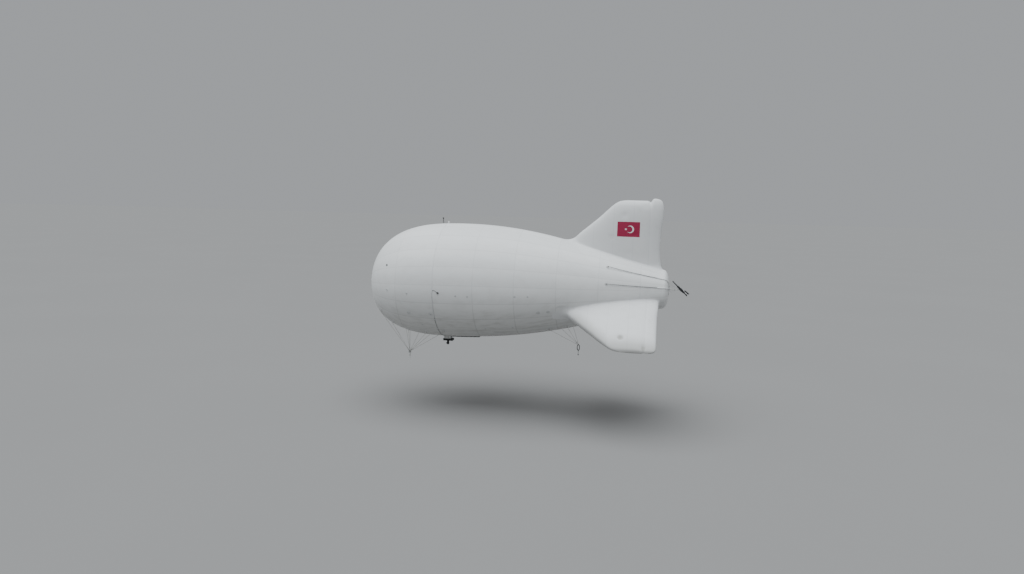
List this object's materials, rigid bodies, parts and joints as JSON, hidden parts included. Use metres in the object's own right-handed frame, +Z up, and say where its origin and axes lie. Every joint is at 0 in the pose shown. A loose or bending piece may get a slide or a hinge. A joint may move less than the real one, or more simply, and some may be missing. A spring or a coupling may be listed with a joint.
{
  "type": "tethered aerostat",
  "caption": "Helium-filled tethered aerostat with three air-filled tail fins, a front bridle with a tether swivel, and a camera on a belly gimbal.",
  "frame": {"origin": "centre of buoyancy on the hull's axis, 8.43 m aft of the nose", "axes": "+X aft along the hull, +Y to starboard, +Z up; the picture looks from port, a little from above and behind"},
  "size_m": [21.7669, 9.8414, 11.7105],
  "materials": {
    "hull_fabric": "coated white laminate, satin",
    "patch_fabric": "doubled white laminate",
    "pad_fabric": "white coated pad",
    "pale_line": "braided fibre line",
    "dark_line": "dark braided line",
    "white_paint": "white paint, worn",
    "boom_paint": "pale paint",
    "black_equipment": "matte black",
    "camera_gloss": "gloss black",
    "dome_plastic": "off-white"
  },
  "bodies": {
    "aerostat": {"envelope": "hull_fabric", "nose_plate": "hull_fabric", "fin_upper": "hull_fabric", "fin_lower_port": "hull_fabric", "fin_lower_starboard": "hull_fabric", "front_patch_port_1": "patch_fabric", "front_patch_port_2": "patch_fabric", "front_patch_port_3": "patch_fabric", "front_patch_port_4": "patch_fabric", "front_patch_port_5": "patch_fabric", "front_patch_starboard_1": "patch_fabric", "front_patch_starboard_2": "patch_fabric", "front_patch_starboard_3": "patch_fabric", "front_patch_starboard_4": "patch_fabric", "front_patch_starboard_5": "patch_fabric", "rear_patch_port_1": "patch_fabric", "rear_patch_port_2": "patch_fabric", "rear_patch_starboard_1": "patch_fabric", "rear_patch_starboard_2": "patch_fabric", "tail_patch_port_upper": "patch_fabric", "tail_patch_port_lower": "patch_fabric", "tail_patch_starboard_upper": "patch_fabric", "tail_patch_starboard_lower": "patch_fabric", "tail_plate": "patch_fabric", "front_bridle_port": "pale_line", "front_bridle_starboard": "pale_line", "rear_bridle_port": "pale_line", "rear_bridle_starboard": "pale_line", "tail_cord_port_upper": "dark_line", "tail_cord_port_lower": "dark_line", "tail_cord_starboard_upper": "dark_line", "tail_cord_starboard_lower": "dark_line", "rear_ring": "dark_line", "rear_pendant": "dark_line", "light_cable_port": "dark_line", "light_cable_starboard": "dark_line", "confluence_plate": "white_paint", "tether_swivel_upper": "white_paint", "tail_boom": "boom_paint", "tail_antenna": "black_equipment", "payload_plate": "black_equipment", "belly_rail": "black_equipment", "side_light_port": "black_equipment", "side_light_starboard": "black_equipment", "beacon_mast": "black_equipment", "beacon_lamp": "black_equipment", "payload_pad": "pad_fabric", "top_dome": "dome_plastic"},
    "tether_swivel": {"tether_swivel_lower": "white_paint", "tether_socket": "white_paint"},
    "gimbal_pan": {"gimbal_yoke": "black_equipment"},
    "gimbal_tilt": {"camera_ball": "camera_gloss"}
  },
  "joints": [
    {"name": "tether_swivel_turn", "type": "hinge", "parent": "aerostat", "child": "tether_swivel", "pos_m": [-5.92, 0, -5.5853], "axis": [0, 0, 1], "continuous": true},
    {"name": "gimbal_pan_turn", "type": "hinge", "parent": "aerostat", "child": "gimbal_pan", "pos_m": [-3.09, 0, -4.3553], "axis": [0, 0, 1], "continuous": true},
    {"name": "gimbal_tilt_turn", "type": "hinge", "parent": "gimbal_pan", "child": "gimbal_tilt", "pos_m": [-3.09, 0, -4.5653], "axis": [0, -1, 0], "range_deg": [-20, 110]}
  ]
}
